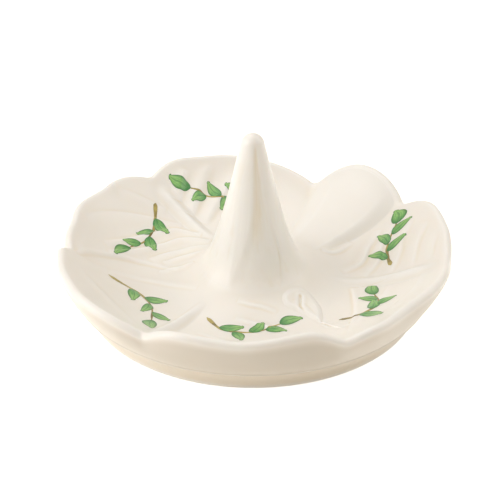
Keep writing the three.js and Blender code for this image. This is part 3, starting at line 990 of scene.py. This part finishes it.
class RINGHOLDER_OT_sprigs(Operator):
    """Paints a broken garland of leafy sprigs round the bowl"""

    bl_idname = "ring_holder.sprigs"
    bl_label = "Painted sprigs"

    def execute(self, context):
        f = form_of(context)
        colours = context.scene.ring_holder_colours
        green, olive = leaf_paint(colours), stem_paint(colours)
        chance = np.random.default_rng(11)
        pattern = self.leaf_pattern()
        for number, points in enumerate(SPRIGS, 1):
            path = smooth_path(points, 12)
            heading = np.gradient(path, axis=0)
            heading /= np.linalg.norm(heading, axis=1, keepdims=True)
            finish_piece(self.stem(f, f"sprig_{number}_stem", path, heading), olive)
            leaves = []
            for k, share in enumerate(LEAF_PLACES):
                i = int(share * (len(path) - 1))
                lean = (1 if (k + number) % 2 else -1) * chance.uniform(34, 56)
                length = f.leaf_length * chance.uniform(0.86, 1.1) * (1.05 - 0.25 * share)
                leaves.append(self.leaf(f, pattern, path[i], heading[i], lean, length, k))
            lean = chance.uniform(-9, 9)
            leaves.append(self.leaf(f, pattern, path[-1], heading[-1], lean, f.leaf_length, 6))
            start_piece()
            for leaf in leaves:
                leaf.select_set(True)
            bpy.context.view_layer.objects.active = leaves[0]
            bpy.ops.object.join()
            finish_piece(name_piece(f"sprig_{number}_leaves"), green)
        start_piece()
        pattern.select_set(True)
        bpy.ops.object.delete()
        return {"FINISHED"}

    @staticmethod
    def leaf_pattern():
        """A flat pointed oval one unit long, a little crowned."""

        def place(u, v):
            half = 0.265 * np.sin(math.pi * u**0.8) ** 0.8 + 0.004
            return np.stack([u, v * half, 0.1 - 0.05 * v**2], -1) * MM

        return pressed_grid("leaf_pattern", 18, 8, place, 0.14)

    @staticmethod
    def leaf(f, pattern, root, heading, lean, length, number):
        """A copy of the pattern, turned off the stem and laid on the dish, with streaks of its own."""
        start_piece()
        pattern.select_set(True)
        bpy.context.view_layer.objects.active = pattern
        bpy.ops.object.duplicate()
        piece = bpy.context.object
        turn = math.atan2(heading[1], heading[0]) + math.radians(lean)
        flat = points_of(piece)
        along = flat[:, 0] * length
        across = flat[:, 1] * length - 0.08 * length * np.sign(lean) * np.sin(math.pi * flat[:, 0])
        x = root[0] + along * math.cos(turn) - across * math.sin(turn)
        y = root[1] + along * math.sin(turn) + across * math.cos(turn)
        move_points(piece, f.laid_at(x, y, flat[:, 2]) / MM)
        for corner in piece.data.uv_layers[0].data:
            corner.uv[1] += 3 * number
        return piece

    @staticmethod
    def stem(f, name, path, heading):
        """A brush line along a path, pressed at its root and lifted at its tip."""
        steps = np.linspace(0, 1, len(path))

        def place(u, v):
            waver = 1.2 - 0.75 * u + 0.2 * np.sin(9 * u) * np.sin(23 * u)
            half = f.stem_width / 2 * (0.3 + 0.7 * ramp(0, 0.05, u)) * waver
            x = np.interp(u, steps, path[:, 0]) - v * half * np.interp(u, steps, heading[:, 1])
            y = np.interp(u, steps, path[:, 1]) + v * half * np.interp(u, steps, heading[:, 0])
            return f.laid_at(x, y, 0.07 - 0.03 * v**2)

        return pressed_grid(name, 110, 5, place, 0.12)


class RINGHOLDER_OT_stage(Operator):
    """Sets the floor, the lamps, the world and the camera"""

    bl_idname = "ring_holder.stage"
    bl_label = "Studio"

    def execute(self, context):
        start_piece()
        bpy.ops.mesh.primitive_plane_add(size=6, location=(0, 0, 0))
        floor = name_piece("studio_floor")
        floor.data.materials.append(self.floor_material(context.scene.ring_holder_colours))
        self.light_sky(context.scene)

        for name, place, size, power in LAMPS:
            bpy.ops.object.light_add(type="AREA", location=place)
            lamp = bpy.context.object
            lamp.name = name
            lamp.data.size = size
            lamp.data.energy = power
            lamp.rotation_euler = self.towards(place, LAMP_AIM)

        back, up = CAMERA_DISTANCE * math.cos(CAMERA_RISE), CAMERA_DISTANCE * math.sin(CAMERA_RISE)
        bpy.ops.object.camera_add(location=(0, -back, up))
        camera = bpy.context.object
        camera.name = "camera"
        camera.data.sensor_width = 36
        camera.data.lens = 36 * FOCAL_LENGTH / PICTURE_WIDTH
        tilt = math.pi / 2 - CAMERA_RISE + math.atan(TURNED_UP / FOCAL_LENGTH)
        camera.rotation_euler = (tilt, 0, math.atan(TURNED_LEFT / FOCAL_LENGTH))
        camera.data.clip_start = 0.01
        context.scene.camera = camera
        context.scene.view_settings.view_transform = "Standard"
        return {"FINISHED"}

    @staticmethod
    def floor_material(colours):
        n = Nodes(bpy.data.materials.new("studio_floor"))
        matt = n.add("ShaderNodeBsdfDiffuse")
        matt.inputs["Color"].default_value = (*colours.floor, 1)
        glow = n.add("ShaderNodeEmission")
        n.link(n.times(n.seen(), FLOOR_GLOW), glow.inputs["Strength"])
        both = n.add("ShaderNodeAddShader")
        n.link(matt.outputs[0], both.inputs[0])
        n.link(glow.outputs[0], both.inputs[1])
        n.link(both.outputs[0], n.add("ShaderNodeOutputMaterial").inputs["Surface"])
        return n.owner

    @staticmethod
    def light_sky(scene):
        scene.world = scene.world or bpy.data.worlds.new("Studio")
        n = Nodes(scene.world)
        sky = n.add("ShaderNodeBackground")
        sky.inputs["Color"].default_value = SKY_COLOUR
        n.link(n.most(n.seen(), SKY_LIGHT), sky.inputs["Strength"])
        n.link(sky.outputs[0], n.add("ShaderNodeOutputWorld").inputs["Surface"])

    @staticmethod
    def towards(place, aim):
        x, y, z = (a - p for a, p in zip(aim, place))
        return math.acos(-z / math.sqrt(x * x + y * y + z * z)), 0, math.atan2(-x, y)


class RINGHOLDER_PT_pieces(Panel):
    """Lists the pieces of the ring holder"""

    bl_label = "Ring holder"
    bl_idname = "RINGHOLDER_PT_pieces"
    bl_space_type = "VIEW_3D"
    bl_region_type = "UI"
    bl_category = "Ring holder"

    def draw(self, context):
        for operator in OPERATORS:
            self.layout.operator(operator.bl_idname)
        for group in (context.scene.ring_holder_sizes, context.scene.ring_holder_colours):
            for name in group.__annotations__:
                self.layout.prop(group, name)


OPERATORS = (
    RINGHOLDER_OT_dish,
    RINGHOLDER_OT_post,
    RINGHOLDER_OT_fillet,
    RINGHOLDER_OT_foot,
    RINGHOLDER_OT_ribs,
    RINGHOLDER_OT_petal,
    RINGHOLDER_OT_bud,
    RINGHOLDER_OT_sprigs,
    RINGHOLDER_OT_stage,
)
CLASSES = (RingHolderSizes, RingHolderColours, *OPERATORS, RINGHOLDER_PT_pieces)


def register():
    for each in CLASSES:
        bpy.utils.register_class(each)
    bpy.types.Scene.ring_holder_sizes = PointerProperty(type=RingHolderSizes)
    bpy.types.Scene.ring_holder_colours = PointerProperty(type=RingHolderColours)


def unregister():
    del bpy.types.Scene.ring_holder_colours
    del bpy.types.Scene.ring_holder_sizes
    for each in reversed(CLASSES):
        bpy.utils.unregister_class(each)


def main():
    register()
    bpy.ops.ring_holder.dish()
    bpy.ops.ring_holder.post()
    bpy.ops.ring_holder.fillet()
    bpy.ops.ring_holder.foot()
    bpy.ops.ring_holder.ribs()
    bpy.ops.ring_holder.petal()
    bpy.ops.ring_holder.bud()
    bpy.ops.ring_holder.sprigs()
    bpy.ops.ring_holder.stage()


if __name__ == "__main__":
    main()
